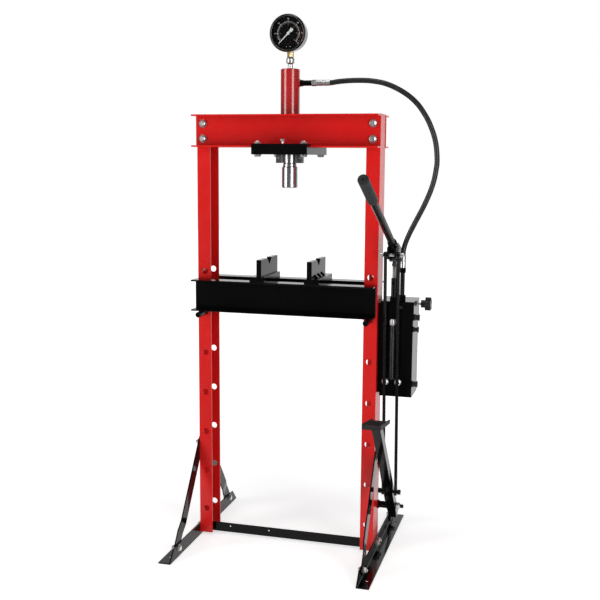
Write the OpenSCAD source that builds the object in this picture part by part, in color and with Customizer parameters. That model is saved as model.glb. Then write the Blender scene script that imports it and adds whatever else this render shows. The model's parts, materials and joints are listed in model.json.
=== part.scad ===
// Floor-standing hydraulic shop press with a foot and hand pump.
// Origin: on the floor, midway between the uprights, on the axis of the ram.
// X runs to the right, Y to the back, Z up. Millimetres.

/* [Frame] */
// Width over the outer faces of the uprights
frame_w = 590; // [560:5:640]
// Height of the top of the uprights above the floor
frame_top = 1391; // [1380:1:1420]
// Front-to-back size of an upright channel
upright_depth = 80; // [80:1:84]
// Flange width of an upright channel
upright_flange = 43; // [40:1:46]
// Gap between the floor and the foot of an upright
upright_lift = 11; // [6:1:11]
// Wall thickness of uprights and beams
wall = 5; // [4:0.5:6]
// Height of the cross beams
beam_h = 100; // [96:1:104]
// Flange width of the cross beams
beam_flange = 48; // [44:1:50]
// Length of the cross beams
beam_len = 593; // [590:1:620]

/* [Bed] */
// Height of the lowest bed pin hole
hole_first_z = 95.5; // [90:0.5:100]
// Distance between bed pin holes
hole_pitch = 133; // [130:1:136]
// Number of bed pin holes in each upright
hole_count = 7; // [6:1:7]
// Hole that the bed pins stand in, counted from 0
bed_hole = 5; // [4:1:5]
// Diameter of a bed pin
pin_d = 18; // [14:1:19]
// Sideways offset of the bed in its uprights
bed_shift = -6; // [-6:1:6]

/* [Feet] */
// Leg width of the foot angle iron
foot_leg = 40; // [36:1:45]
// Front end of the feet
foot_front = -298; // [-320:1:-290]
// Rear end of the feet
foot_rear = 325; // [300:1:340]
// Half the front-to-back distance of the anchor holes
anchor_y = 245; // [230:1:262]

/* [Head] */
// Outside diameter of the ram cylinder
cylinder_d = 60; // [58:1:66]
// Height of the top of the ram cylinder
cylinder_top = 1529; // [1500:1:1560]
// Diameter of the piston rod
rod_d = 40; // [36:1:42]
// Diameter of the ram nose
nose_d = 50; // [46:1:52]
// Height of the working face of the ram when it is up
nose_z = 1164; // [1150:1:1180]
// Diameter of the pressure gauge case over its bezel
gauge_d = 114; // [100:1:120]

/* [Pump] */
// Width of the oil tank
tank_w = 102; // [96:1:110]
// Front-to-back size of the oil tank
tank_depth = 110; // [100:1:120]
// Height of the bottom of the tank
tank_z = 520; // [500:1:540]
// Height of the top of the pump block
pump_top = 821; // [815:1:830]
// Diameter of the handle tube
handle_d = 22; // [20:1:24]
// Rise of the handle above level, in degrees
handle_rise = 24; // [20:1:30]
// Diameter of the link rods
rod_link_d = 10; // [8:1:11]

/* [Hidden] */
$fn = 48;

red = [0.78, 0.08, 0.08];
black = [0.09, 0.09, 0.09];
zinc = [0.75, 0.76, 0.78];
chrome = [0.88, 0.89, 0.91];
brass = [0.78, 0.62, 0.30];
white = [0.93, 0.93, 0.90];
rubber = [0.05, 0.05, 0.05];

// Uprights and beams
half_w = frame_w / 2;
half_depth = upright_depth / 2;
web_in = half_w - wall;
beam_z = frame_top - 2 - beam_h;
beam_bolt_x = half_w - 22;
beam_bolt_z = [beam_z + 26, beam_z + 73];
hole_x = half_w - 23.5;
hole_d = pin_d + 2;

// Bed: its webs slide along the uprights with half a millimetre each side
bed_gap = half_depth + 0.5;
pin_z = hole_first_z + bed_hole * hole_pitch;
bed_z = pin_z + pin_d / 2 + 0.3;
bed_top = bed_z + beam_h;
pin_len = 214;

// Feet: angle irons outside the webs, with flat braces. The washers of the upper brace
// bolts just clear the flanges of the uprights
foot_wall = 4;
foot_chamfer = foot_leg - foot_wall;
anchor_x = half_w + 23;
anchor_d = 12;
foot_bolt_y = 14;
foot_bolt_z = 28;
foot_fillet = 2.5;
brace_w = 42;
brace_t = 4;
brace_top = [wall - half_depth + 10.5, 318];
brace_foot_z = 29;
brace_foot_y = [-230, 250];

// Head
head_plate_z = beam_z - 22;
head_half_x = 88;
head_half_y = 122;
head_bolt_x = 73;
head_bolt_y = 104;
cylinder_bore = 46;
cylinder_z = head_plate_z + 1;
gland_d = 90;
boss_x = 33;
port_z = cylinder_top - 43;
piston_top = 1500;

// Gauge
gauge_z = 1634;
adapter_top = cylinder_top + 36;

// Pump
pump_x = 341;
tank_x = half_w + 7;
tank_y = -22;
block_h = 58;
block_z = pump_top - block_h;
plunger_y = -10;
pump_bolt_y = [-14, 20];
pump_bolt_z = [600, 740];
hex_plug_z = 566;
tank_plug_z = [561, 734];
block_plug_z = block_z + 9;
bleed_x = 366;
bleed_z = 803;
pipe_x = 366;
pipe_y = -6;
valve_y = 20;
valve_z = 811;
sight_y = -34.5;

// Pedal and lever linkage, as [y, z] points in the plane x = pump_x
pedal_axis = [38, 142];
pedal_tilt = 40.5;
pedal_reach = 500;
link_reach = 88;
link_foot = pedal_axis + link_reach * [-sin(pedal_tilt), cos(pedal_tilt)];
lever_axis = [45, 956];
link_head = [-60, 968];
plunger_pin = [plunger_y, 953];
link_x = 20;
link_pin_d = 10;
link_play = 1.3;
socket_start = [-8, 981];
handle_len = 546;
grip_len = 148;
grip_d = 30;
tread_at = [-265, 494];
tread_tilt = -9;

// Centre line of the pressure hose, [x, y, z]
hose_d = 16;
hose_route = [
    [128, 0, 1486], [150, 0, 1489], [174, 0, 1491], [198, 0, 1492], [222, 0, 1492],
    [246, 0, 1491], [270, 0, 1488], [294, 0, 1483], [317, 0, 1475], [340, -1, 1464],
    [362, -1, 1451], [383, -1, 1435], [402, -1, 1416], [418, -1, 1394], [432, -2, 1371],
    [443, -2, 1347], [452, -2, 1322], [458, -3, 1297], [461, -3, 1271], [462, -3, 1245],
    [459, -4, 1218], [454, -4, 1191], [446, -4, 1164], [436, -5, 1138], [424, -5, 1111],
    [411, -5, 1085], [398, -6, 1059], [386, -6, 1034], [375, -6, 1008], [368, -6, 984],
    [366, -6, 962]
];

// ---------- shared shapes ----------

// Extrudes an outline drawn as [y, z] from x0 to x1
module extrude_x(x0, x1) {
    translate([x0, 0, 0]) rotate([90, 0, 90]) linear_extrude(x1 - x0) children();
}

// Extrudes an outline drawn as [x, z] from y0 to y1
module extrude_y(y0, y1) {
    translate([0, y1, 0]) rotate([90, 0, 0]) linear_extrude(y1 - y0) children();
}

module bar_x(x0, x1, y, z, d) {
    translate([x0, y, z]) rotate([0, 90, 0]) cylinder(d = d, h = x1 - x0);
}

module bar_y(y0, y1, x, z, d) {
    translate([x, y1, z]) rotate([90, 0, 0]) cylinder(d = d, h = y1 - y0);
}

module bar_z(z0, z1, x, y, d) {
    translate([x, y, z0]) cylinder(d = d, h = z1 - z0);
}

// Channel section: web from x = 0 to t, flanges towards +x
module channel_outline(web, flange, t) {
    difference() {
        translate([0, -web / 2]) square([flange, web]);
        translate([t, -web / 2 + t]) square([flange, web - 2 * t]);
    }
}

module hex(af, h) {
    cylinder(d = af / cos(30), h = h, $fn = 6);
}

// Hexagon with its upper corners turned off at 30 degrees, as on bolt heads and nuts
module crowned_hex(af, h) {
    crown_d = 0.72 * af;
    intersection() {
        hex(af, h);
        cylinder(d1 = crown_d + 2 * h / tan(30), d2 = crown_d, h = h);
    }
}

// Hexagon bolt with its washer: seat at z = 0, head upwards, shank down
module hex_bolt(d, af, head, shank, washer = 2) {
    translate([0, 0, washer]) crowned_hex(af, head);
    cylinder(d = af * 1.28, h = washer);
    translate([0, 0, -shank]) cylinder(d = d, h = shank);
}

// Nut with its washer, on z = 0, round a shank of diameter d
module hex_nut(d, af, h, washer = 0) {
    difference() {
        union() {
            translate([0, 0, washer]) crowned_hex(af, h);
            if (washer > 0) {
                cylinder(d = af * 1.28, h = washer);
            }
        }
        translate([0, 0, -1]) cylinder(d = d + 0.2, h = h + washer + 2);
    }
}

module mirrored_x() {
    children();
    mirror([1, 0, 0]) children();
}

module mirrored_y() {
    children();
    mirror([0, 1, 0]) children();
}

// ---------- frame ----------

module right_upright() {
    color(red) difference() {
        translate([half_w, 0, upright_lift]) mirror([1, 0, 0])
            linear_extrude(frame_top - upright_lift)
                channel_outline(upright_depth, upright_flange, wall);
        for (i = [0 : hole_count - 1]) {
            bar_y(-100, 100, hole_x, hole_first_z + i * hole_pitch, hole_d);
        }
        for (z = beam_bolt_z) {
            bar_y(-100, 100, beam_bolt_x, z, 13);
        }
        for (y = [-foot_bolt_y, foot_bolt_y]) {
            bar_x(web_in - 1, half_w + 1, y, foot_bolt_z, 11);
        }
        for (y = [-1, 1]) {
            bar_x(web_in - 1, half_w + 1, y * brace_top[0], brace_top[1], 11);
        }
        children();
    }
}

module upright_left() {
    mirror([1, 0, 0]) right_upright();
}

module upright_right() {
    right_upright() {
        for (y = pump_bolt_y, z = pump_bolt_z) {
            bar_x(web_in - 1, half_w + 1, y, z, 9);
        }
    }
}

module rear_beam(z) {
    translate([-beam_len / 2, 0, z + beam_h / 2]) rotate([90, 0, 90])
        linear_extrude(beam_len) channel_outline(beam_h, beam_flange, wall);
}

module rear_top_beam() {
    color(red) difference() {
        translate([0, half_depth, 0]) rear_beam(beam_z);
        for (x = [-beam_bolt_x, beam_bolt_x], z = beam_bolt_z) {
            bar_y(0, 100, x, z, 13);
        }
    }
}

module top_beam_front() {
    mirror([0, 1, 0]) rear_top_beam();
}

module top_beam_rear() {
    rear_top_beam();
}

module top_beam_bolts() {
    color(zinc) mirrored_y() mirrored_x() for (z = beam_bolt_z) {
        translate([beam_bolt_x, half_depth + wall, z]) rotate([-90, 0, 0])
            hex_bolt(12, 19, 8, 24);
        translate([beam_bolt_x, half_depth - wall, z]) rotate([90, 0, 0])
            hex_nut(12, 19, 10);
    }
}

// Angle iron along the floor: upright leg on the web, flat leg outwards
module foot_angle() {
    color(black) difference() {
        intersection() {
            extrude_y(foot_front, foot_rear) translate([half_w, 0]) union() {
                square([foot_leg, foot_wall]);
                square([foot_wall, foot_leg]);
                difference() {
                    square(foot_wall + foot_fillet);
                    translate([1, 1] * (foot_wall + foot_fillet)) circle(r = foot_fillet);
                }
            }
            extrude_x(half_w - 1, half_w + foot_leg + 1) polygon([
                [foot_front, 0], [foot_rear, 0], [foot_rear, foot_wall],
                [foot_rear - foot_chamfer, foot_leg],
                [foot_front + foot_chamfer, foot_leg], [foot_front, foot_wall]
            ]);
        }
        for (y = [-anchor_y, anchor_y]) {
            bar_z(-1, foot_wall + 1, anchor_x, y, anchor_d);
        }
        for (y = [-foot_bolt_y, foot_bolt_y]) {
            bar_x(half_w - 1, half_w + foot_wall + 1, y, foot_bolt_z, 11);
        }
        for (y = brace_foot_y) {
            bar_x(half_w - 1, half_w + foot_wall + 1, y, brace_foot_z, 11);
        }
    }
}

module foot_angle_left() {
    mirror([1, 0, 0]) foot_angle();
}

module foot_angle_right() {
    foot_angle();
}

// Flat bar from foot_y on the foot to the web, with a joggle so that it lies flat on both
module brace(foot_y) {
    run = brace_top[0] - foot_y;
    rise = brace_top[1] - brace_foot_z;
    span = sqrt(run * run + rise * rise);
    lean = atan2(run, rise);
    low_end = 12;
    top_end = 12;
    joggle = 50;
    color(black) difference() {
        translate([half_w, foot_y, brace_foot_z]) rotate([-lean, 0, 0])
            extrude_y(-brace_w / 2, brace_w / 2) polygon([
                [foot_wall, -low_end], [foot_wall + brace_t, -low_end],
                [foot_wall + brace_t, joggle], [brace_t, joggle + 30],
                [brace_t, span + top_end], [0, span + top_end],
                [0, joggle + 30], [foot_wall, joggle]
            ]);
        bar_x(half_w - 5, half_w + 20, brace_top[0], brace_top[1], 11);
        bar_x(half_w - 5, half_w + 20, foot_y, brace_foot_z, 11);
    }
}

module front_brace() {
    brace(brace_foot_y[0]);
}

module rear_brace() {
    mirror([0, 1, 0]) brace(-brace_foot_y[1]);
}

module brace_front_left() {
    mirror([1, 0, 0]) front_brace();
}

module brace_rear_left() {
    mirror([1, 0, 0]) rear_brace();
}

module brace_front_right() {
    front_brace();
}

module brace_rear_right() {
    rear_brace();
}

// Bolt through the plates between x0 and x1: head on the low side, nut on the other
module bolt_through_x(x0, x1, y, z) {
    translate([x0, y, z]) rotate([0, -90, 0]) hex_bolt(10, 16, 7, x1 - x0 + 14);
    translate([x1, y, z]) rotate([0, 90, 0]) hex_nut(10, 16, 8, 2);
}

// Bolts of the feet and braces: heads inside, nuts outside
module foot_bolts() {
    brace_face = half_w + foot_wall + brace_t;
    color(zinc) mirrored_x() {
        for (y = [-foot_bolt_y, foot_bolt_y]) {
            bolt_through_x(web_in - foot_wall, half_w + foot_wall, y, foot_bolt_z);
        }
        for (y = [brace_top[0], -brace_top[0]]) {
            bolt_through_x(web_in, half_w + brace_t, y, brace_top[1]);
        }
        for (y = brace_foot_y) {
            bolt_through_x(half_w, brace_face, y, brace_foot_z);
        }
    }
}

// Angle bar between the uprights, welded to a lug on each web
module base_cross_bar() {
    bar_z0 = upright_lift + 1;
    bar_front = -20;
    color(black) difference() {
        union() {
            extrude_x(-web_in + foot_wall, web_in - foot_wall) polygon([
                [bar_front, bar_z0], [bar_front + 30, bar_z0], [bar_front + 30, bar_z0 + 3],
                [bar_front + 3, bar_z0 + 3], [bar_front + 3, bar_z0 + 31],
                [bar_front, bar_z0 + 31]
            ]);
            mirrored_x() translate([web_in - foot_wall, -32, bar_z0])
                cube([foot_wall, 64, 48]);
        }
        mirrored_x() for (y = [-foot_bolt_y, foot_bolt_y]) {
            bar_x(web_in - 20, web_in + 1, y, foot_bolt_z, 11);
        }
        mirrored_x() translate([web_in - foot_wall - 12, bar_front - 1, bar_z0 + 6])
            cube([12, 40, 60]);
        for (x = [-195, -60]) {
            bar_y(bar_front - 1, bar_front + 4, x, bar_z0 + 20, 5);
        }
    }
}

// ---------- head ----------

module head_plate() {
    color(black) difference() {
        translate([-head_half_x, -head_half_y, head_plate_z])
            cube([2 * head_half_x, 2 * head_half_y, 22]);
        bar_z(head_plate_z - 1, beam_z + 1, 0, 0, gland_d + 0.6);
        for (x = [-head_bolt_x, head_bolt_x], y = [-head_bolt_y, head_bolt_y]) {
            bar_z(head_plate_z - 1, beam_z + 1, x, y, 12.4);
        }
    }
}

// Strips that grip the lower beam flanges against the head plate
module head_clamp_bars() {
    edge = half_depth + beam_flange;
    color(black) mirrored_y() difference() {
        extrude_x(-head_half_x, head_half_x) polygon([
            [-head_half_y, beam_z], [-edge - 1, beam_z], [-edge - 1, beam_z + wall],
            [-edge + 14, beam_z + wall], [-edge + 14, beam_z + wall + 5],
            [-head_half_y, beam_z + wall + 5]
        ]);
        for (x = [-head_bolt_x, head_bolt_x]) {
            bar_z(beam_z - 1, beam_z + 20, x, -head_bolt_y, 12.4);
        }
        bar_z(beam_z - 1, beam_z + 20, 0, -edge + 7, 8.2);
    }
}

module head_bolts() {
    clamp_top = beam_z + wall + 5;
    edge = half_depth + beam_flange;
    color(zinc) mirrored_y() {
        mirrored_x() {
            translate([head_bolt_x, head_bolt_y, head_plate_z]) rotate([180, 0, 0])
                hex_bolt(12, 19, 7, clamp_top + 9 - head_plate_z, 1);
            translate([head_bolt_x, head_bolt_y, clamp_top]) hex_nut(12, 19, 7);
        }
        bar_z(beam_z + wall, clamp_top + 9, 0, edge - 7, 8);
        translate([0, edge - 7, clamp_top + 9]) hex(13, 6);
    }
}

module cylinder_tube() {
    color(red) difference() {
        union() {
            bar_z(cylinder_z, cylinder_top - 2, 0, 0, cylinder_d);
            translate([0, 0, cylinder_top - 2])
                cylinder(d1 = cylinder_d, d2 = cylinder_d - 4, h = 2);
            bar_x(20, boss_x, 0, port_z, 24);
        }
        bar_z(cylinder_z - 1, cylinder_top - 24, 0, 0, cylinder_bore);
        bar_z(cylinder_top - 30, cylinder_top + 1, 0, 0, 12);
        bar_x(0, boss_x + 1, 0, port_z, 12);
    }
}

// Threaded ring in the head plate with two lugs for a hook spanner
module gland_nut() {
    lug_z = head_plate_z - 26;
    color(black) difference() {
        union() {
            bar_z(head_plate_z, beam_z, 0, 0, gland_d);
            intersection() {
                bar_z(lug_z, head_plate_z + 1, 0, 0, gland_d - 2);
                translate([-60, -13, lug_z]) cube([120, 26, 40]);
            }
        }
        bar_z(lug_z - 1, head_plate_z, 0, 0, 54);
        bar_z(head_plate_z + 1, beam_z + 1, 0, 0, cylinder_d + 0.6);
        bar_z(head_plate_z - 1, head_plate_z + 2, 0, 0, rod_d + 0.6);
        bar_y(-20, 20, -36, lug_z + 14, 7);
        bar_y(-20, 20, 36, lug_z + 14, 7);
    }
}

module piston_rod() {
    color(chrome) {
        bar_z(nose_z + 54, nose_z + 76, 0, 0, 24);
        bar_z(nose_z + 76, piston_top - 30, 0, 0, rod_d);
        bar_z(piston_top - 30, piston_top, 0, 0, cylinder_bore - 0.1);
    }
}

module ram_nose() {
    r = nose_d / 2;
    color(chrome) difference() {
        translate([0, 0, nose_z]) rotate_extrude($fn = 96) polygon([
            [0, 0], [r - 2, 0], [r, 2], [r, 63], [r - 2, 65.5], [rod_d / 2 + 1.5, 66],
            [rod_d / 2 + 1.5, 74], [rod_d / 2 - 0.5, 76], [0, 76]
        ]);
        bar_z(nose_z + 54, nose_z + 77, 0, 0, 24.1);
    }
}

// ---------- pressure gauge ----------

module gauge_adapter() {
    color(zinc) translate([0, 0, cylinder_top]) rotate_extrude() polygon([
        [0, -18], [6, -18], [6, 0], [9, 0], [8, 3], [8, 14], [13, 19], [13, 30],
        [10, 36], [0, 36]
    ]);
}

module gauge_stem() {
    color(brass) {
        translate([0, 0, adapter_top]) rotate([0, 0, 30]) hex(19, gauge_z - 53 - adapter_top);
    }
}

// Deep round case, open to the front
module gauge_case() {
    r = gauge_d / 2 - 4;
    color(black) translate([0, 0, gauge_z]) rotate([90, 0, 0]) rotate_extrude($fn = 96) polygon([
        [0, -14], [r - 6, -14], [r, -8], [r, 27], [r - 2, 27], [r - 2, -5],
        [r - 7, -11], [0, -11]
    ]);
}

module gauge_bezel() {
    r = gauge_d / 2;
    color(black) translate([0, 0, gauge_z]) rotate([90, 0, 0]) rotate_extrude($fn = 96) polygon([
        [r - 4, 22], [r - 1, 22], [r, 24], [r, 35], [r - 3, 38], [r - 6, 38],
        [r - 7, 36], [r - 7, 34], [r - 4, 34]
    ]);
}

module gauge_dial() {
    color(black) translate([0, 0, gauge_z]) rotate([90, 0, 0]) difference() {
        translate([0, 0, 24]) cylinder(r = gauge_d / 2 - 6.2, h = 1.5, $fn = 96);
        translate([0, 0, 23]) cylinder(d = 3, h = 4);
    }
}

module gauge_lens() {
    color([0.85, 0.9, 0.92, 0.25]) translate([0, 0, gauge_z]) rotate([90, 0, 0])
        translate([0, 0, 31.5]) cylinder(r = gauge_d / 2 - 6.2, h = 2.5, $fn = 96);
}

// Pointer with a broad tail, resting at the lower left of the scale
module gauge_needle() {
    color(white) translate([0, 0, gauge_z]) rotate([90, 0, 0]) {
        translate([0, 0, 26.2]) rotate([0, 0, 135]) linear_extrude(1) polygon([
            [-2.2, -2], [-5.5, -17], [0, -20], [5.5, -17], [2.2, -2], [0.6, 41], [-0.6, 41]
        ]);
        translate([0, 0, 26.2]) cylinder(r = 4.5, h = 2.6);
        translate([0, 0, 21]) cylinder(d = 2.9, h = 5.4);
    }
}

// ---------- pressure hose ----------

module head_hose_fitting() {
    color(black) {
        bar_x(27, boss_x + 1, 0, port_z, 12);
        translate([boss_x, 0, port_z]) rotate([0, 90, 0]) hex(17, 9);
        bar_x(boss_x + 9, boss_x + 37, 0, port_z, 17);
    }
}

// Crimped ferrules on the two ends of the hose
module hose_ferrules() {
    head_end = hose_route[0][0];
    pump_end = hose_route[len(hose_route) - 1][2];
    color(zinc) {
        translate([boss_x + 37, 0, port_z]) rotate([0, 90, 0]) hex(17, 14);
        bar_x(boss_x + 51, head_end - 3, 0, port_z, 18.5);
        bar_x(head_end - 3, head_end, 0, port_z, 17.5);
        bar_z(pump_end - 3, pump_end, pipe_x, pipe_y, 17.5);
        bar_z(925, pump_end - 3, pipe_x, pipe_y, 18.5);
    }
}

function unit(v) = v / norm(v);
function route_dir(p, i) =
    i == 0 ? [1, 0, 0] :
    i == len(p) - 1 ? [0, 0, -1] : unit(p[i + 1] - p[i - 1]);
function ring(p, i, r, sides) =
    let (t = route_dir(p, i), u = unit(cross(t, [0, 1, 0])), v = cross(t, u))
    [for (k = [0 : sides - 1]) p[i] + r * (cos(360 * k / sides) * u + sin(360 * k / sides) * v)];

// Round tube swept along a list of centre points
module swept_tube(route, d, sides) {
    n = len(route);
    points = [for (i = [0 : n - 1]) each ring(route, i, d / 2, sides)];
    skin = [for (i = [0 : n - 2], k = [0 : sides - 1])
        let (a = i * sides, b = a + sides, next = (k + 1) % sides)
        [a + k, b + k, b + next, a + next]];
    first = [[for (k = [0 : sides - 1]) k]];
    last = [[for (k = [sides - 1 : -1 : 0]) (n - 1) * sides + k]];
    polyhedron(points, concat(skin, first, last), convexity = 4);
}

module hose() {
    color(rubber) swept_tube(hose_route, hose_d, 10);
}

module pump_hose_fitting() {
    color(black) {
        translate([pipe_x, pipe_y, 909]) hex(17, 16);
        bar_z(840, 909, pipe_x, pipe_y, 14);
        bar_z(pump_top - 12, pump_top, pipe_x, pipe_y, 12);
        translate([pipe_x, pipe_y, pump_top]) hex(19, 19);
    }
}

// ---------- pump ----------

module pump_mount_plate() {
    color(black) difference() {
        translate([half_w, tank_y + 2, tank_z + 10]) cube([7, tank_depth - 30, 285]);
        for (y = pump_bolt_y, z = pump_bolt_z) {
            bar_x(half_w - 1, half_w + 8, y, z, 8.2);
        }
    }
}

// Screws in the web, and the two hexagon plugs low on the front of the tank
module pump_bolts() {
    color(zinc) {
        for (y = pump_bolt_y, z = pump_bolt_z) {
            translate([web_in, y, z]) rotate([0, -90, 0]) hex_bolt(8, 13, 5.5, 11.8, 1.6);
        }
        for (x = [-link_x, link_x]) {
            translate([pump_x + x, tank_y, hex_plug_z]) rotate([90, 0, 0])
                hex_bolt(12, 17, 6, 3, 1.5);
        }
    }
}

// Welded reservoir, open at the top, closed by the pump block
module oil_tank() {
    skin = 3;
    color(black) difference() {
        translate([tank_x, tank_y, tank_z]) cube([tank_w, tank_depth, block_z - tank_z]);
        translate([tank_x + skin, tank_y + skin, tank_z + skin])
            cube([tank_w - 2 * skin, tank_depth - 2 * skin, block_z - tank_z]);
        for (x = [-link_x, link_x]) {
            bar_y(tank_y - 1, tank_y + skin + 1, pump_x + x, hex_plug_z, 12.2);
        }
        for (z = tank_plug_z) {
            bar_x(tank_x + tank_w - skin - 1, tank_x + tank_w + 1, plunger_y, z, 10.2);
        }
    }
}

module pump_block() {
    color(black) difference() {
        translate([tank_x, tank_y - 1.5, block_z])
            cube([tank_w + 2, tank_depth + 3, block_h]);
        bar_z(block_z - 1, pump_top + 1, pump_x, plunger_y, 12.4);
        bar_z(pump_top - 12, pump_top + 1, pipe_x, pipe_y, 12.2);
        bar_x(tank_x + tank_w - 20, tank_x + tank_w + 5, valve_y, valve_z, 10.2);
        bar_x(tank_x + tank_w - 10, tank_x + tank_w + 5, plunger_y, block_plug_z, 10.2);
        bar_y(tank_y - 3, tank_y + 6, bleed_x, bleed_z, 5.2);
    }
}

module plunger_barrel() {
    color(black) difference() {
        union() {
            bar_z(pump_top, pump_top + 71, pump_x, plunger_y, 19);
            translate([pump_x, plunger_y, pump_top]) hex(22, 12);
        }
        bar_z(pump_top - 1, pump_top + 72, pump_x, plunger_y, 12.2);
    }
}

// Plunger with its lock nut and slotted eye
module plunger() {
    eye_half = 6;
    slot_w = 8.8;
    slot_y = [-0.4, 2.4];
    color(chrome) {
        bar_z(block_z + 12, plunger_pin[1] - 24, pump_x, plunger_y, 12);
        translate([pump_x, plunger_y, plunger_pin[1] - 24]) hex(15, 7);
        difference() {
            extrude_x(pump_x - eye_half, pump_x + eye_half) translate(plunger_pin) union() {
                circle(d = 22);
                translate([-7, -17]) square([14, 12]);
            }
            for (y = slot_y) {
                bar_x(pump_x - 10, pump_x + 10, plunger_pin[0] + y, plunger_pin[1], slot_w);
            }
            translate([pump_x - 10, plunger_pin[0] + slot_y[0], plunger_pin[1] - slot_w / 2])
                cube([20, slot_y[1] - slot_y[0], slot_w]);
        }
    }
}

// Post on the pump block that carries the lever
module fulcrum_post() {
    half = 6;
    color(black) difference() {
        union() {
            extrude_x(pump_x - half, pump_x + half) union() {
                translate([lever_axis[0] - 11, pump_top]) square([22, lever_axis[1] - pump_top]);
                translate(lever_axis) circle(d = 22);
            }
            translate([pump_x - 18, lever_axis[0] - 16, pump_top]) cube([36, 32, 8]);
        }
        bar_x(pump_x - 20, pump_x + 20, lever_axis[0], lever_axis[1], 10.1);
    }
}

module valve_stem() {
    face = tank_x + tank_w + 2;
    color(zinc) {
        bar_x(face - 18, face, valve_y, valve_z, 10);
        translate([face, valve_y, valve_z]) rotate([0, 90, 0]) hex(15, 6);
        bar_x(face + 6, face + 26, valve_y, valve_z, 8);
    }
}

// Five-lobed knob that opens the release valve
module release_knob() {
    hub = tank_x + tank_w + 18;
    color(black) difference() {
        union() {
            bar_x(hub, hub + 14, valve_y, valve_z, 24);
            extrude_x(hub + 13, hub + 31) translate([valve_y, valve_z]) union() {
                circle(d = 30);
                for (k = [0 : 4]) {
                    rotate(k * 72 + 20) translate([14.5, 0]) circle(d = 14);
                }
            }
        }
        bar_x(hub - 1, hub + 12, valve_y, valve_z, 8.1);
    }
}

// Spool-shaped screw plugs on the right of the pump
module side_plugs() {
    face = tank_x + tank_w;
    color(black) {
        for (z = [tank_plug_z[0], block_plug_z]) {
            start = z > block_z ? face + 2 : face;
            bar_x(face - 4, start, plunger_y, z, 10);
            bar_x(start, start + 4, plunger_y, z, 20);
            bar_x(start + 4, start + 12, plunger_y, z, 17);
            bar_x(start + 12, start + 17, plunger_y, z, 20);
        }
        bar_x(face - 4, face, plunger_y, tank_plug_z[1], 10);
        bar_x(face, face + 3, plunger_y, tank_plug_z[1], 18);
        bar_x(face + 3, face + 13, plunger_y, tank_plug_z[1], 13);
        bar_x(face + 13, face + 17, plunger_y, tank_plug_z[1], 19);
        bar_y(tank_y - 4.5, tank_y + 5, bleed_x, bleed_z, 5);
        bar_y(tank_y - 4.5, tank_y - 1.5, bleed_x, bleed_z, 10);
    }
}

module sight_tube() {
    color(black) {
        bar_z(578, 748, pump_x + 2, sight_y, 16);
        translate([pump_x + 2 - 9, sight_y, 584]) cube([18, tank_y - sight_y, 12]);
        translate([pump_x + 2 - 9, sight_y, 726]) cube([18, tank_y - sight_y, 12]);
    }
}

module sight_tube_cap() {
    color(zinc) {
        translate([pump_x + 2, sight_y, 748]) cylinder(d1 = 16, d2 = 21, h = 3);
        bar_z(751, 765, pump_x + 2, sight_y, 21);
        translate([pump_x + 2, sight_y, 765]) cylinder(d1 = 21, d2 = 17, h = 3);
    }
}

// ---------- bed ----------

module bed_beam_rear() {
    color(black) translate([bed_shift, bed_gap, 0]) rear_beam(bed_z);
}

module bed_beam_front() {
    mirror([0, 1, 0]) bed_beam_rear();
}

// Plates welded between the two bed beams
module bed_ties() {
    color(black) for (x = [-216, 208]) {
        translate([x, -bed_gap, bed_z + 4]) cube([8, 2 * bed_gap, 62]);
    }
}

module bed_pin(x) {
    color(black) translate([x, pin_len / 2, pin_z]) rotate([90, 0, 0]) rotate_extrude()
        polygon([
            [0, 0], [pin_d / 2 - 2, 0], [pin_d / 2, 2], [pin_d / 2, pin_len - 14],
            [pin_d / 2 - 1.5, pin_len - 12], [pin_d / 2 - 1.5, pin_len - 9],
            [pin_d / 2, pin_len - 7], [pin_d / 2, pin_len - 2], [pin_d / 2 - 2, pin_len],
            [0, pin_len]
        ]);
}

module bed_pin_left() {
    bed_pin(-hole_x);
}

module bed_pin_right() {
    bed_pin(hole_x);
}

// Steel block: notched plate on a base that reaches further on its outer side
module v_block(plate_x) {
    half = 89;
    color(black) translate([plate_x, 0, bed_top]) {
        extrude_x(-8, 8) polygon([
            [-half, 0], [half, 0], [half, 71], [22, 71], [0, 51], [-22, 71], [-half, 71]
        ]);
        translate([-17, -half, 0]) cube([48, 2 * half, 17]);
        for (y = [-42, 0, 42]) {
            translate([0, y - 6, 0]) extrude_y(0, 12) polygon([[7, 16], [21, 16], [7, 30]]);
        }
    }
}

module v_block_left() {
    mirror([1, 0, 0]) v_block(74);
}

module v_block_right() {
    v_block(89);
}

// ---------- pedal ----------

// Places children in the arm's frame: z along the arm, origin on its pivot
module on_arm() {
    translate([pump_x, pedal_axis[0], pedal_axis[1]]) rotate([pedal_tilt, 0, 0]) children();
}

// Places children in the tread's frame: underside at z = 0
module on_tread() {
    translate([pump_x, tread_at[0], tread_at[1]]) rotate([tread_tilt, 0, 0]) children();
}

module pedal_pivot() {
    y = pedal_axis[0];
    z = pedal_axis[1];
    color(black) {
        bar_x(half_w, half_w + 4, y, z, 28);
        bar_x(half_w + 4, pump_x - 14, y, z, 22);
        bar_x(pump_x - 14, pump_x + 37, y, z, 12);
    }
}

module pedal_pivot_nut() {
    z = pedal_axis[1];
    color(zinc) {
        difference() {
            bar_x(pump_x + 14, pump_x + 16.5, pedal_axis[0], z, 24);
            bar_x(pump_x + 13, pump_x + 18, pedal_axis[0], z, 12.2);
        }
        translate([pump_x + 16.5, pedal_axis[0], z]) rotate([0, 90, 0]) hex_nut(12, 19, 11);
    }
}

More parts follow.
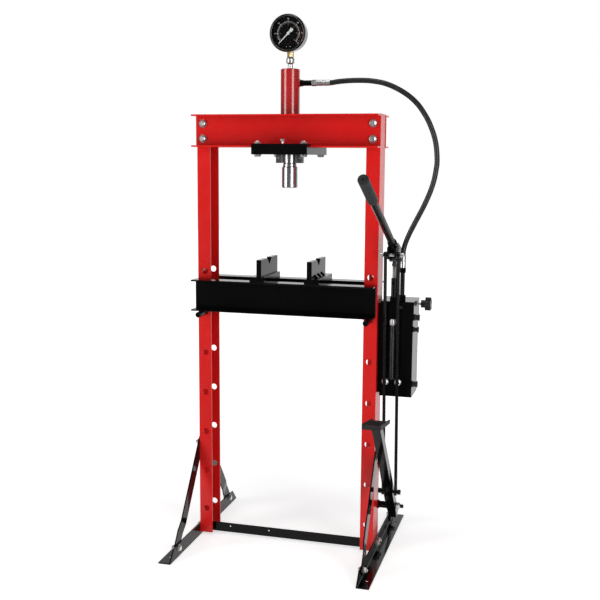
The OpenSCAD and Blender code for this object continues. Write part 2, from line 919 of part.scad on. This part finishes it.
// Folded channel, open to the back
module pedal_arm() {
    half = 13;
    half_deep = 14;
    skin = 3;
    color(black) difference() {
        on_arm() difference() {
            translate([-half, -half_deep, -52])
                cube([2 * half, 2 * half_deep, pedal_reach + 52]);
            translate([-half + skin, -half_deep + skin, -53])
                cube([2 * (half - skin), 2 * half_deep, pedal_reach + 60]);
            bar_x(-20, 20, 0, 0, 12.1);
            bar_x(-20, 20, 0, link_reach, link_pin_d);
        }
        on_tread() translate([-20, -75, 0]) cube([40, 150, 80]);
    }
}

// Foot plate with saw-tooth sides, folded down at the front and along both sides
module pedal_tread() {
    half = 27;
    length = 156;
    rim = 5;
    tooth = 4;
    steps = 12;
    fold_front = 8;
    fold_rear = 3;
    pitch = length / steps;
    saw = [for (i = [0 : steps - 1]) each [
        [-length / 2 + i * pitch, rim], [-length / 2 + (i + 0.5) * pitch, rim + tooth]
    ]];
    color(black) on_tread() {
        translate([-half, -length / 2, 0]) cube([2 * half, length, 3]);
        translate([-half, -length / 2, -fold_front]) cube([2 * half, 3, fold_front + 3]);
        for (x = [-half, half - 3]) {
            extrude_x(x, x + 3) polygon(concat(
                [[-length / 2, -fold_front]], saw, [[length / 2, rim], [length / 2, -fold_rear]]
            ));
        }
        for (y = [-48 : 24 : 48]) {
            translate([-half + 8, y - 1.5, 3]) cube([2 * half - 16, 3, 1.5]);
        }
    }
}

module pedal_link_pin() {
    color(zinc) {
        bar_x(pump_x - 36, pump_x + 36, link_foot[0], link_foot[1], link_pin_d);
        for (x = [-36, 26]) {
            bar_x(pump_x + x, pump_x + x + 10, link_foot[0], link_foot[1], 16);
        }
    }
}

// Two rods that hang from the lever and pull on the pedal's pin
module link_rods() {
    drop = link_foot - link_head;
    rod_len = norm(drop);
    lean = atan2(drop[0], -drop[1]);
    color(black) for (x = [-link_x, link_x]) {
        translate([pump_x + x, link_head[0], link_head[1]]) rotate([lean, 0, 0]) difference() {
            union() {
                bar_z(-rod_len + 10, -9, 0, 0, rod_link_d);
                bar_x(-4, 4, 0, 0, 20);
                bar_x(-4, 4, 0, -rod_len, 24);
            }
            bar_x(-6, 6, 0, 0, link_pin_d + 0.1);
            bar_x(-6, 6, 0, -rod_len, link_pin_d + 2 * link_play);
        }
    }
}

// ---------- lever ----------

// Places children in the handle's frame: z along the handle, away from the fork
module on_handle() {
    translate([pump_x, socket_start[0], socket_start[1]])
        rotate([90 - handle_rise, 0, 0]) children();
}

// Two cheeks with the socket that takes the handle
module lever_fork() {
    color(black) difference() {
        union() {
            for (x = [-14, 9]) {
                extrude_x(pump_x + x, pump_x + x + 5) union() {
                    translate(link_head) circle(r = 13);
                    translate(lever_axis) circle(r = 14);
                    translate(plunger_pin) circle(r = 11);
                    polygon([
                        [-72, 963], [-22, 944], [2, 943], [48, 943], [55, 966],
                        [30, 982], [-28, 1003], [-71, 990]
                    ]);
                }
            }
            on_handle() cylinder(d = handle_d + 7, h = 62);
        }
        on_handle() translate([0, 0, 4]) cylinder(d = handle_d + 0.2, h = 80);
        bar_x(pump_x - 20, pump_x + 20, link_head[0], link_head[1], link_pin_d);
        bar_x(pump_x - 20, pump_x + 20, plunger_pin[0], plunger_pin[1], 8);
        bar_x(pump_x - 20, pump_x + 20, lever_axis[0], lever_axis[1], 10);
    }
}

module lever_pins() {
    color(zinc) {
        bar_x(pump_x - 36, pump_x + 36, link_head[0], link_head[1], link_pin_d);
        for (x = [-36, 27]) {
            bar_x(pump_x + x, pump_x + x + 9, link_head[0], link_head[1], 15);
        }
        bar_x(pump_x - 14, pump_x + 14, plunger_pin[0], plunger_pin[1], 8);
        bar_x(pump_x - 14, pump_x + 14, lever_axis[0], lever_axis[1], 10);
    }
}

// Handle tube, plugged into the socket of the fork
module lever_handle() {
    color(black) on_handle() difference() {
        translate([0, 0, 4]) cylinder(d = handle_d, h = handle_len - 4);
        translate([0, 0, -1]) cylinder(d = handle_d - 5, h = handle_len + 2);
    }
}

// Rubber sleeve over the end of the handle, with a small air hole
module lever_grip() {
    cap = 4;
    color(rubber) on_handle() difference() {
        union() {
            translate([0, 0, handle_len - grip_len])
                cylinder(d1 = grip_d - 3, d2 = grip_d, h = 6);
            translate([0, 0, handle_len - grip_len + 6])
                cylinder(d = grip_d, h = grip_len + cap - 9);
            translate([0, 0, handle_len + cap - 3]) cylinder(d1 = grip_d, d2 = grip_d - 5, h = 3);
        }
        translate([0, 0, handle_len - grip_len - 1]) cylinder(d = handle_d, h = grip_len + 1);
        cylinder(d = 5, h = handle_len + cap + 1);
    }
}

upright_left();
upright_right();
top_beam_front();
top_beam_rear();
top_beam_bolts();
foot_angle_left();
foot_angle_right();
brace_front_left();
brace_rear_left();
brace_front_right();
brace_rear_right();
foot_bolts();
base_cross_bar();
head_plate();
head_clamp_bars();
head_bolts();
cylinder_tube();
gland_nut();
piston_rod();
ram_nose();
gauge_adapter();
gauge_stem();
gauge_case();
gauge_bezel();
gauge_dial();
gauge_lens();
gauge_needle();
head_hose_fitting();
hose();
hose_ferrules();
pump_hose_fitting();
pump_mount_plate();
pump_bolts();
oil_tank();
pump_block();
plunger_barrel();
plunger();
fulcrum_post();
valve_stem();
release_knob();
side_plugs();
sight_tube();
sight_tube_cap();
bed_beam_front();
bed_beam_rear();
bed_ties();
bed_pin_left();
bed_pin_right();
v_block_left();
v_block_right();
pedal_pivot();
pedal_pivot_nut();
pedal_arm();
pedal_tread();
pedal_link_pin();
link_rods();
lever_fork();
lever_pins();
lever_handle();
lever_grip();
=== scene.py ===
"""Studio scene of a floor-standing hydraulic shop press.

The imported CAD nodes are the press. This script gives them their paint, plating and
rubber, rounds their edges, and adds the pieces that are finer than the CAD: the smooth
hose, the gauge's print, screws and bezel bead, and the weld beads.
Metres, +Z up, front = -Y.
"""
import json
import math

import bmesh
import bpy
from mathutils import Matrix, Vector


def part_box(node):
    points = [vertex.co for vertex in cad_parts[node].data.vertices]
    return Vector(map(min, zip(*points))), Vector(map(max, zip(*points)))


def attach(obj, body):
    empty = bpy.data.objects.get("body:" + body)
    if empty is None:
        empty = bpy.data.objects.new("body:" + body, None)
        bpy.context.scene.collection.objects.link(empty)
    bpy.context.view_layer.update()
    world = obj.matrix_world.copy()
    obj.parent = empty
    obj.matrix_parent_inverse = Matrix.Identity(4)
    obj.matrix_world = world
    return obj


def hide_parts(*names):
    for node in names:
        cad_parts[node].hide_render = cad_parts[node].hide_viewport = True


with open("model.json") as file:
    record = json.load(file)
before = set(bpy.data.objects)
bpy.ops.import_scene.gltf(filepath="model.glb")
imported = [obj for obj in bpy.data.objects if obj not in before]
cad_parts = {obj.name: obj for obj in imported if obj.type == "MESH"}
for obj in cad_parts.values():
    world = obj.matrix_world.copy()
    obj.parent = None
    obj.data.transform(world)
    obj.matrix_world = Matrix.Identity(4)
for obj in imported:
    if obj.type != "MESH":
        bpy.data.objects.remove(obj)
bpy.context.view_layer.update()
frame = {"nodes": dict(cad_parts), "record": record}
NODES = frame["nodes"]
MM = 0.001


# ---------- camera ----------

CAMERA_PLACE = (0.849, -2.9472, 1.2579)
CAMERA_TURN, CAMERA_TILT, CAMERA_ROLL = 15.42, 8.375, 0.412
LENS_MM, SENSOR_MM = 58.0, 36.0


def make_camera():
    """Right of the front, about level with the head plate, looking down a little."""
    turn = math.radians(CAMERA_TURN)
    tilt = math.radians(CAMERA_TILT)
    roll = math.radians(CAMERA_ROLL)
    level = Vector((-math.sin(turn), math.cos(turn), 0))
    side = Vector((math.cos(turn), math.sin(turn), 0))
    ahead = level * math.cos(tilt) - Vector((0, 0, math.sin(tilt)))
    up = Vector((0, 0, math.cos(tilt))) + level * math.sin(tilt)
    right = side * math.cos(roll) + up * math.sin(roll)
    top = -side * math.sin(roll) + up * math.cos(roll)
    data = bpy.data.cameras.new("camera")
    data.lens = LENS_MM
    data.sensor_width = SENSOR_MM
    cam = bpy.data.objects.new("camera", data)
    cam.matrix_world = Matrix.Translation(CAMERA_PLACE) @ Matrix(
        (right, top, -ahead)).transposed().to_4x4()
    bpy.context.scene.collection.objects.link(cam)
    bpy.context.scene.camera = cam


# ---------- node helpers ----------

class Nodes:
    """Short way to build a node material."""

    def __init__(self, name):
        self.mat = bpy.data.materials.new(name)
        self.mat.use_nodes = True
        self.tree = self.mat.node_tree
        self.bsdf = self.tree.nodes["Principled BSDF"]
        self.coord = self.tree.nodes.new("ShaderNodeTexCoord").outputs["Object"]

    def add(self, kind, inputs=(), **settings):
        node = self.tree.nodes.new("ShaderNode" + kind)
        for key, value in settings.items():
            setattr(node, key, value)
        for key, value in dict(inputs).items():
            self.put(node.inputs[key], value)
        return node

    def put(self, socket, value):
        if isinstance(value, bpy.types.NodeSocket):
            self.tree.links.new(value, socket)
        else:
            socket.default_value = value

    def set(self, **inputs):
        for key, value in inputs.items():
            self.put(self.bsdf.inputs[key.replace("_", " ")], value)

    def noise(self, scale, detail=2.0, rough=0.5, stretch=(1, 1, 1)):
        mapping = self.add("Mapping", {"Vector": self.coord, "Scale": stretch})
        return self.add("TexNoise", {
            "Vector": mapping.outputs["Vector"], "Scale": scale,
            "Detail": detail, "Roughness": rough}).outputs["Fac"]

    def between(self, fac, low, high, start=0.35, end=0.65):
        """Number from low to high as fac goes from start to end."""
        return self.add("MapRange", {
            "Value": fac, "From Min": start, "From Max": end,
            "To Min": low, "To Max": high}).outputs["Result"]

    def tint(self, fac, dark, light, start=0.35, end=0.65):
        """Colour from dark to light as fac goes from start to end."""
        ramp = self.add("ValToRGB", {"Fac": fac})
        for stop, place, rgb in zip(ramp.color_ramp.elements, (start, end), (dark, light)):
            stop.position = place
            stop.color = (*rgb, 1)
        return ramp.outputs["Color"]

    def grime(self, colour, reach, depth):
        """Colour with painted shade: darkened by depth in crevices narrower than reach
        millimetres.
        """
        near = self.add("AmbientOcclusion", {"Distance": reach * MM}, samples=6)
        open_part = self.between(near.outputs["AO"], 1.0 - depth, 1.0, 0.35, 0.95)
        shade = self.add("VectorMath", {"Scale": open_part}, operation="SCALE")
        self.put(shade.inputs[0], colour)
        return shade.outputs["Vector"]

    def bump(self, height, strength, distance, under=None):
        node = self.add("Bump", {"Height": height, "Strength": strength,
                                 "Distance": distance})
        if under is not None:
            self.put(node.inputs["Normal"], under)
        return node.outputs["Normal"]


def scaled(rgb, factor):
    return tuple(min(1.0, c * factor) for c in rgb)


# ---------- materials ----------

def gloss_paint(name, rgb, ior, rough, vary, coat=0.0, coat_rough=0.08):
    """Sprayed gloss paint: faint orange peel, slightly uneven gloss and depth of colour."""
    m = Nodes(name)
    colour = m.tint(m.noise(5.0, 3.0), scaled(rgb, 1 - vary), scaled(rgb, 1 + vary))
    peel = m.bump(m.noise(420.0, 1.0), 0.05, 0.0003)
    dust = m.bump(m.noise(2600.0, 2.0), 0.03, 0.0002, peel)
    m.set(Base_Color=colour, Roughness=m.between(m.noise(30.0, 4.0), *rough),
          IOR=ior, Normal=dust, Coat_Weight=coat, Coat_Roughness=coat_rough)
    return m.mat


def plated(name, dark, light, rough, grain, stretch=(1, 1, 1), metal=1.0):
    """Bare or plated metal with fine turning marks and cloudy tint."""
    m = Nodes(name)
    colour = m.tint(m.noise(60.0, 3.0), dark, light)
    marks = m.bump(m.noise(grain, 3.0, 0.6, stretch), 0.10, 0.00008)
    # Painted shade: the base colour is darkened in crevices and round bolt heads and washers.
    m.set(Base_Color=m.grime(colour, 5.0, 0.8), Metallic=metal, Normal=marks,
          Roughness=m.between(m.noise(140.0, 3.0), *rough))
    return m.mat


def rubber(name, rgb, rough, grain, depth):
    """Matt skin with cloudy colour and a grain of the given scale and depth."""
    m = Nodes(name)
    colour = m.tint(m.noise(35.0, 4.0), scaled(rgb, 0.75), scaled(rgb, 1.3))
    skin = m.bump(m.noise(grain, 4.0, 0.65), 0.35, depth)
    m.set(Base_Color=colour, Normal=skin, IOR=1.45,
          Roughness=m.between(m.noise(90.0, 3.0), *rough))
    return m.mat


def plastic(name, rgb, rough, ior=1.45):
    """Moulded plastic, enamel or print: slightly uneven colour and a faint texture."""
    m = Nodes(name)
    colour = m.tint(m.noise(25.0, 2.0), scaled(rgb, 0.85), scaled(rgb, 1.2))
    skin = m.bump(m.noise(700.0, 2.0), 0.08, 0.0003)
    m.set(Base_Color=colour, Normal=skin, IOR=ior,
          Roughness=m.between(m.noise(60.0, 3.0), *rough))
    return m.mat


def clear_glass(name):
    """Thin, nearly clear pane with slightly smeared gloss."""
    m = Nodes(name)
    m.set(Base_Color=(0.01, 0.01, 0.01, 1), IOR=1.45, Alpha=0.10,
          Roughness=m.between(m.noise(12.0, 3.0), 0.02, 0.06))
    return m.mat


def pale_floor(name):
    """White paper sweep that glows more and more away from the press."""
    m = Nodes(name)
    colour = m.tint(m.noise(1.2, 3.0), (0.93, 0.93, 0.93), (0.95, 0.95, 0.95))
    reach = m.add("VectorMath", {"Vector": m.coord}, operation="LENGTH")
    glow = m.between(reach.outputs["Value"], 0.62, 1.0, 0.5, 3.0)
    m.set(Base_Color=colour, Roughness=0.9, IOR=1.2, Emission_Color=(1, 1, 1, 1),
          Emission_Strength=glow)
    return m.mat


def make_materials():
    """One material for each slot of the record."""
    return {
        "red_paint": gloss_paint("red_gloss", (0.54, 0.009, 0.008), 1.36,
                                 rough=(0.17, 0.24), vary=0.05),
        "tube_paint": gloss_paint("tube_red", (0.40, 0.010, 0.009), 1.5,
                                  rough=(0.18, 0.24), vary=0.05, coat=1.0,
                                  coat_rough=0.15),
        "black_paint": gloss_paint("black_gloss", (0.0022, 0.0022, 0.0024), 1.25,
                                   rough=(0.06, 0.13), vary=0.2),
        "tread_paint": rubber("textured_black", (0.012, 0.012, 0.012), (0.55, 0.7), 500.0,
                              0.0003),
        "rod_black": gloss_paint("black_satin", (0.004, 0.004, 0.0044), 1.3,
                                 rough=(0.22, 0.34), vary=0.2),
        "zinc_plate": plated("zinc", (0.66, 0.66, 0.67), (0.84, 0.84, 0.83),
                             (0.24, 0.36), 900.0, metal=0.9),
        "dark_steel": plated("dark_steel", (0.16, 0.16, 0.15), (0.26, 0.26, 0.25),
                             (0.3, 0.42), 700.0),
        "chrome": plated("hard_chrome", (0.62, 0.63, 0.65), (0.72, 0.73, 0.75),
                         (0.20, 0.27), 500.0, (1, 1, 6)),
        "brass": plated("brass", (0.50, 0.40, 0.20), (0.62, 0.52, 0.30),
                        (0.36, 0.46), 800.0),
        "gauge_enamel": gloss_paint("gauge_enamel", (0.004, 0.004, 0.005), 1.5,
                                    rough=(0.07, 0.12), vary=0.2, coat=0.6),
        "dial_face": plastic("dial_black", (0.003, 0.003, 0.003), (0.6, 0.7), ior=1.12),
        "lens_glass": clear_glass("lens"),
        "needle_white": plastic("needle_enamel", (0.80, 0.80, 0.78), (0.35, 0.45)),
        "knob_plastic": plastic("moulded_black", (0.010, 0.010, 0.010), (0.28, 0.4)),
        "sight_plastic": plastic("dark_sleeve", (0.012, 0.012, 0.013), (0.18, 0.28)),
        "hose_rubber": rubber("hose_cover", (0.016, 0.016, 0.017), (0.24, 0.36),
                              1400.0, 0.0002),
        "grip_rubber": rubber("grip", (0.012, 0.012, 0.013), (0.5, 0.66), 900.0, 0.0004),
    }


def dress_nodes(mats):
    """Gives each CAD node the material of its slot."""
    for row in frame["record"]["subparts"]:
        obj = NODES[row["node"]]
        obj.data.materials.clear()
        obj.data.materials.append(mats[row["material_slot"]])


# ---------- edges of the CAD nodes ----------

USUAL_EDGE_MM = 0.6
# Nodes whose rounding differs. lever_fork and plunger have none and sight_tube has little,
# because more of it left small holes in their meshes.
EDGE_MM = {"hose": 0, "gauge_lens": 0, "gauge_dial": 0, "gauge_needle": 0.15,
           "upright_left": 1.2, "upright_right": 1.2, "top_beam_front": 1.2,
           "top_beam_rear": 1.2, "bed_beam_front": 1.2, "bed_beam_rear": 1.2,
           "head_plate": 1.2, "v_block_left": 1.0, "v_block_right": 1.0,
           "pump_block": 1.2, "oil_tank": 1.2, "release_knob": 1.2,
           "lever_fork": 0, "plunger": 0, "sight_tube": 0.3,
           "top_beam_bolts": 0.8, "foot_bolts": 0.8, "head_bolts": 0.8}


def round_edges():
    """Rounds the sharp edges of the CAD nodes with real faces."""
    for name, obj in NODES.items():
        width = EDGE_MM.get(name, USUAL_EDGE_MM)
        if not width:
            continue
        weld = obj.modifiers.new("weld", "WELD")
        weld.merge_threshold = 0.00001
        flats = obj.modifiers.new("flats", "DECIMATE")
        flats.decimate_type = "DISSOLVE"
        flats.angle_limit = math.radians(0.5)
        bevel = obj.modifiers.new("bevel", "BEVEL")
        bevel.width = width * MM
        bevel.segments = 2
        bevel.limit_method = "ANGLE"
        bevel.angle_limit = math.radians(40)
        bevel.use_clamp_overlap = True
        even = obj.modifiers.new("even", "WEIGHTED_NORMAL")
        even.keep_sharp = True


# ---------- mesh pieces ----------

def turns_of(count):
    """Angles of count equal steps round a circle."""
    return [2 * math.pi * k / count for k in range(count)]


def join_rings(bm, near, far):
    """Faces between two rings of as many vertices."""
    count = len(near)
    for k in range(count):
        n = (k + 1) % count
        bm.faces.new((near[k], near[n], far[n], far[k]))


def finish_piece(name, bm, body, mat, smooth=True):
    """Turns a bmesh into a piece that rides on a body."""
    mesh = bpy.data.meshes.new(name)
    bmesh.ops.recalc_face_normals(bm, faces=bm.faces)
    bm.to_mesh(mesh)
    bm.free()
    for face in mesh.polygons:
        face.use_smooth = smooth
    obj = bpy.data.objects.new(name, mesh)
    obj.data.materials.append(mat)
    bpy.context.scene.collection.objects.link(obj)
    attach(obj, body)
    return obj


# ---------- hose ----------

HOSE_D = 16 * MM
HOSE_ROUTE = [
    (128, 0, 1486), (150, 0, 1489), (174, 0, 1491), (198, 0, 1492), (222, 0, 1492),
    (246, 0, 1491), (270, 0, 1488), (294, 0, 1483), (317, 0, 1475), (340, -1, 1464),
    (362, -1, 1451), (383, -1, 1435), (402, -1, 1416), (418, -1, 1394), (432, -2, 1371),
    (443, -2, 1347), (452, -2, 1322), (458, -3, 1297), (461, -3, 1271), (462, -3, 1245),
    (459, -4, 1218), (454, -4, 1191), (446, -4, 1164), (436, -5, 1138), (424, -5, 1111),
    (411, -5, 1085), (398, -6, 1059), (386, -6, 1034), (375, -6, 1008), (368, -6, 984),
    (366, -6, 962),
]


def make_hose(mats):
    """Smooth hose along the route, from the ferrule on the cylinder to the one on the pump."""
    curve = bpy.data.curves.new("pressure_hose", "CURVE")
    curve.dimensions = "3D"
    curve.bevel_depth = HOSE_D / 2
    curve.bevel_resolution = 6
    curve.resolution_u = 4
    curve.use_fill_caps = True
    line = curve.splines.new("BEZIER")
    line.bezier_points.add(len(HOSE_ROUTE) - 1)
    places = [Vector(p) * MM for p in HOSE_ROUTE]
    last = len(places) - 1
    for i, (knot, place) in enumerate(zip(line.bezier_points, places)):
        before, after = places[max(i - 1, 0)], places[min(i + 1, last)]
        along = (after - before).normalized()
        if i == 0:
            along = Vector((1, 0, 0))
        if i == last:
            along = Vector((0, 0, -1))
        knot.co = place
        knot.handle_left = place - along * (place - before).length / 3
        knot.handle_right = place + along * (after - place).length / 3
    hose = bpy.data.objects.new("pressure_hose", curve)
    hose.data.materials.append(mats["hose_rubber"])
    bpy.context.scene.collection.objects.link(hose)
    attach(hose, "frame")
    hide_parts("hose")
    return hose


# ---------- gauge scale ----------

DIAL_X, DIAL_Z = 0.0, 1634 * MM
DIAL_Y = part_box("gauge_dial")[0].y
START, SWEEP = 225.0, 270.0
PRINT = 0.15 * MM


def dial_point(radius, degrees, lift):
    """Point on the dial at a radius and an angle, lift in front of its face."""
    turn = math.radians(degrees)
    return Vector((DIAL_X + radius * math.cos(turn), DIAL_Y - lift,
                   DIAL_Z + radius * math.sin(turn)))


def add_arc(bm, inner, outer, start, end, steps):
    """Flat printed arc between two radii, from start to end in degrees."""
    rows = []
    for i in range(steps + 1):
        at = start + (end - start) * i / steps
        rows.append([bm.verts.new(dial_point(r, at, lift))
                     for r, lift in ((inner, 0), (inner, PRINT), (outer, PRINT), (outer, 0))])
    for a, b in zip(rows, rows[1:]):
        join_rings(bm, a, b)
    bm.faces.new(rows[0])
    bm.faces.new(rows[-1][::-1])


def add_scale(bm, arc, ticks, divisions, every, width):
    """Arc with divisions ticks, each every-th one longer. Radii in millimetres."""
    add_arc(bm, arc * MM, (arc + 0.5) * MM, START - SWEEP, START, 90)
    for i in range(divisions + 1):
        long = i % every == 0
        at = START - SWEEP * i / divisions
        reach = ticks * (1.0 if long else 0.55)
        ends = sorted((arc * MM, (arc + reach) * MM))
        half = math.degrees(width * (1.5 if long else 0.8) * MM / 2 / ends[1])
        add_arc(bm, ends[0], ends[1], at - half, at + half, 1)


def add_numbers(name, values, radius, size, mat):
    """Numbers round the dial, upright, as flat printed meshes."""
    made = []
    for i, value in enumerate(values):
        text = bpy.data.curves.new(name, "FONT")
        text.body = str(value)
        text.size = size * MM
        text.align_x = "CENTER"
        text.align_y = "CENTER"
        text.extrude = PRINT / 2
        holder = bpy.data.objects.new(name, text)
        bpy.context.scene.collection.objects.link(holder)
        bpy.context.view_layer.update()
        mesh = bpy.data.meshes.new_from_object(
            holder.evaluated_get(bpy.context.evaluated_depsgraph_get()))
        bpy.data.objects.remove(holder)
        at = START - SWEEP * i / (len(values) - 1)
        mesh.transform(Matrix.Translation(dial_point(radius * MM, at, PRINT / 2))
                       @ Matrix.Rotation(math.radians(90), 4, "X"))
        made.append(mesh)
    bm = bmesh.new()
    for mesh in made:
        bm.from_mesh(mesh)
        bpy.data.meshes.remove(mesh)
    return finish_piece(name, bm, "frame", mat, smooth=False)


def make_print(mats):
    """Two scales, a red sector and two rings of numbers on the dial."""
    white = mats["needle_white"]
    grey = plastic("dial_grey", (0.30, 0.29, 0.28), (0.4, 0.5))
    red = plastic("dial_red", (0.16, 0.012, 0.012), (0.4, 0.5))
    bm = bmesh.new()
    add_scale(bm, 34.0, 4.0, 60, 10, 0.7)
    finish_piece("dial_scale_outer", bm, "frame", white, smooth=False)
    bm = bmesh.new()
    add_scale(bm, 31.5, -3.4, 48, 8, 0.6)
    finish_piece("dial_scale_inner", bm, "frame", grey, smooth=False)
    bm = bmesh.new()
    add_arc(bm, 39.4 * MM, 41.4 * MM, START - SWEEP, 30.0, 30)
    finish_piece("dial_red_sector", bm, "frame", red, smooth=False)
    add_numbers("dial_numbers_outer", range(0, 61, 10), 43.0, 6.0, white)
    add_numbers("dial_numbers_inner", range(0, 13, 2), 25.0, 4.2, grey)


def make_bezel_bead(mats):
    """Rounded wire that stands proud round the front of the bezel."""
    rim, wire, ahead = 51.2 * MM, 0.8 * MM, 12.1 * MM
    centre = Vector((DIAL_X, DIAL_Y - ahead, DIAL_Z))
    back = Vector((0, 1, 0))
    bm = bmesh.new()
    rows = []
    for a in turns_of(96):
        out = Vector((math.cos(a), 0, math.sin(a)))
        middle = centre + rim * out
        rows.append([bm.verts.new(middle + wire * (math.cos(w) * out + math.sin(w) * back))
                     for w in turns_of(10)])
    for near, far in zip(rows, rows[1:] + rows[:1]):
        join_rings(bm, near, far)
    finish_piece("bezel_bead", bm, "frame", mats["dark_steel"])


def make_dial_screws(mats):
    """Two small domed screws low on the dial."""
    for k, x in enumerate((-5.5, 5.5)):
        bm = bmesh.new()
        bmesh.ops.create_cone(bm, cap_ends=True, segments=20, radius1=1.5 * MM,
                              radius2=1.1 * MM, depth=0.8 * MM)
        bmesh.ops.bevel(bm, geom=bm.edges[:], offset=0.12 * MM, segments=2,
                        affect="EDGES")
        bm.transform(Matrix.Translation((x * MM, DIAL_Y - 0.35 * MM, DIAL_Z - 40 * MM))
                     @ Matrix.Rotation(math.radians(90), 4, "X"))
        finish_piece(f"dial_screw_{k}", bm, "frame", mats["zinc_plate"])


# ---------- weld beads ----------

V_BASE_MM = 17
# Side, body, then the plate's outer and inner face from the block's low X, in
# millimetres, and the way out
V_BLOCKS = (("left", "v_block_l", 23, 39, -1), ("right", "v_block_r", 25, 9, 1))


def weld_bead(name, start, end, size, body, mat):
    """Fillet weld: a rippled bead from start to end, in millimetres."""
    a, b = Vector(start) * MM, Vector(end) * MM
    along = (b - a).normalized()
    side = along.cross(Vector((0, 0, 1)))
    if side.length < 0.1:
        side = along.cross(Vector((0, 1, 0)))
    side.normalize()
    up = side.cross(along)
    rings, around = max(8, int((b - a).length / (1.1 * MM))), 8
    bm = bmesh.new()
    rows = []
    for i in range(rings + 1):
        t = i / rings
        ripple = 1 + 0.13 * math.sin(2.1 * i) + 0.05 * math.sin(0.7 * i + 1)
        taper = min(1.0, 0.35 + 4 * min(t, 1 - t) * (b - a).length / (8 * size * MM))
        r = size * MM * 0.5 * ripple * taper
        middle = a.lerp(b, t)
        rows.append([bm.verts.new(middle + r * (math.cos(w) * side + math.sin(w) * up))
                     for w in turns_of(around)])
    for near, far in zip(rows, rows[1:]):
        join_rings(bm, near, far)
    bm.faces.new(rows[0])
    bm.faces.new(rows[-1][::-1])
    return finish_piece(name, bm, body, mat)


def make_welds(mats):
    """Beads where the V-block plates stand on their bases and at the base bar's lugs."""
    black = mats["black_paint"]
    for side, body, outer_face, inner_face, out in V_BLOCKS:
        low, high = (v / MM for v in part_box("v_block_" + side))
        base_top = low.z + V_BASE_MM
        wide, narrow = low.x + outer_face, low.x + inner_face
        for k, y in enumerate((-78, -36, 12, 60)):
            weld_bead(f"weld_v_{side}_{k}", (wide + 0.5 * out, y, base_top),
                      (wide + 0.5 * out, y + 20, base_top), 5, body, black)
        weld_bead(f"weld_v_{side}_inner", (narrow - 0.5 * out, low.y + 12, base_top),
                  (narrow - 0.5 * out, high.y - 12, base_top), 5, body, black)
    low, high = (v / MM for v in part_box("base_cross_bar"))
    bar_front, bead_low, bead_high = -19.5, 20, 42
    for k, x in enumerate((low.x + 4, high.x - 4)):
        weld_bead(f"weld_base_{k}", (x, bar_front, bead_low), (x, bar_front, bead_high),
                  4.5, "frame", black)


# ---------- studio ----------

ROOM_DIM, WALL_BRIGHT = 0.12, 1.0
WALL_START, WALL_FULL = 0.60, 0.92
NEAR_FLOOR, FAR_FLOOR = 0.9, 14.0


def area_light(name, place, target, size, power):
    """Rectangular soft light of power watts at place, aimed at target."""
    data = bpy.data.lights.new(name, "AREA")
    data.shape = "RECTANGLE"
    data.size, data.size_y = size
    data.energy = power
    lamp = bpy.data.objects.new(name, data)
    lamp.location = place
    aim = Vector(target) - Vector(place)
    lamp.rotation_euler = aim.to_track_quat("-Z", "Y").to_euler()
    bpy.context.scene.collection.objects.link(lamp)


def make_world():
    """Dim room with a bright wall behind the press. The camera sees plain white."""
    world = bpy.data.worlds.new("room")
    bpy.context.scene.world = world
    world.use_nodes = True
    tree = world.node_tree
    back = tree.nodes["Background"]
    coord = tree.nodes.new("ShaderNodeTexCoord")
    axes = tree.nodes.new("ShaderNodeSeparateXYZ")
    tree.links.new(coord.outputs["Generated"], axes.inputs["Vector"])
    depth = tree.nodes.new("ShaderNodeMapRange")
    depth.interpolation_type = "SMOOTHSTEP"
    depth.inputs["From Min"].default_value = WALL_START
    depth.inputs["From Max"].default_value = WALL_FULL
    depth.inputs["To Min"].default_value = ROOM_DIM
    depth.inputs["To Max"].default_value = WALL_BRIGHT
    tree.links.new(axes.outputs["Y"], depth.inputs["Value"])
    seen = tree.nodes.new("ShaderNodeLightPath")
    level = tree.nodes.new("ShaderNodeMath")
    level.operation = "MAXIMUM"
    tree.links.new(seen.outputs["Is Camera Ray"], level.inputs[0])
    tree.links.new(depth.outputs["Result"], level.inputs[1])
    tree.links.new(level.outputs["Value"], back.inputs["Strength"])
    back.inputs["Color"].default_value = (1, 1, 1, 1)


def floor_piece(name, mat, inner, outer, reflects):
    """Flat ring of floor, or a disc if inner is 0, seen in the paint if it reflects."""
    bm = bmesh.new()
    around = 96
    rings = [[bm.verts.new((radius * math.cos(w), radius * math.sin(w), 0))
              for w in turns_of(around)] for radius in (inner, outer) if radius]
    if inner:
        for k in range(around):
            n = (k + 1) % around
            bm.faces.new((rings[0][k], rings[1][k], rings[1][n], rings[0][n]))
    else:
        bm.faces.new(rings[0])
    mesh = bpy.data.meshes.new(name)
    bm.to_mesh(mesh)
    bm.free()
    floor = bpy.data.objects.new(name, mesh)
    floor.data.materials.append(mat)
    bpy.context.scene.collection.objects.link(floor)
    floor.visible_glossy = reflects


def make_floor(mat):
    """Only the floor round the feet shows in the paint, as a sweep in a dim room would."""
    floor_piece("floor_near", mat, 0, NEAR_FLOOR, True)
    floor_piece("floor_far", mat, NEAR_FLOOR, FAR_FLOOR, False)


def make_studio():
    """Floor, room and three soft lights: a tall strip each side and a weak one above."""
    scene = bpy.context.scene
    scene.view_settings.view_transform = "Standard"
    scene.view_settings.look = "None"
    make_world()
    make_floor(pale_floor("floor"))
    area_light("strip_left", (-3.4, -3.2, 1.5), (0.0, 0.0, 1.3), (1.8, 3.6), 100)
    area_light("strip_right", (2.9, -2.7, 1.5), (0.0, 0.0, 1.3), (1.5, 3.4), 80)
    area_light("top", (0.0, -0.6, 3.6), (0.0, 0.0, 0.8), (1.2, 1.2), 14)


# ---------- build ----------

make_camera()
materials = make_materials()
make_hose(materials)
dress_nodes(materials)
round_edges()
make_print(materials)
make_bezel_bead(materials)
make_dial_screws(materials)
make_welds(materials)
make_studio()
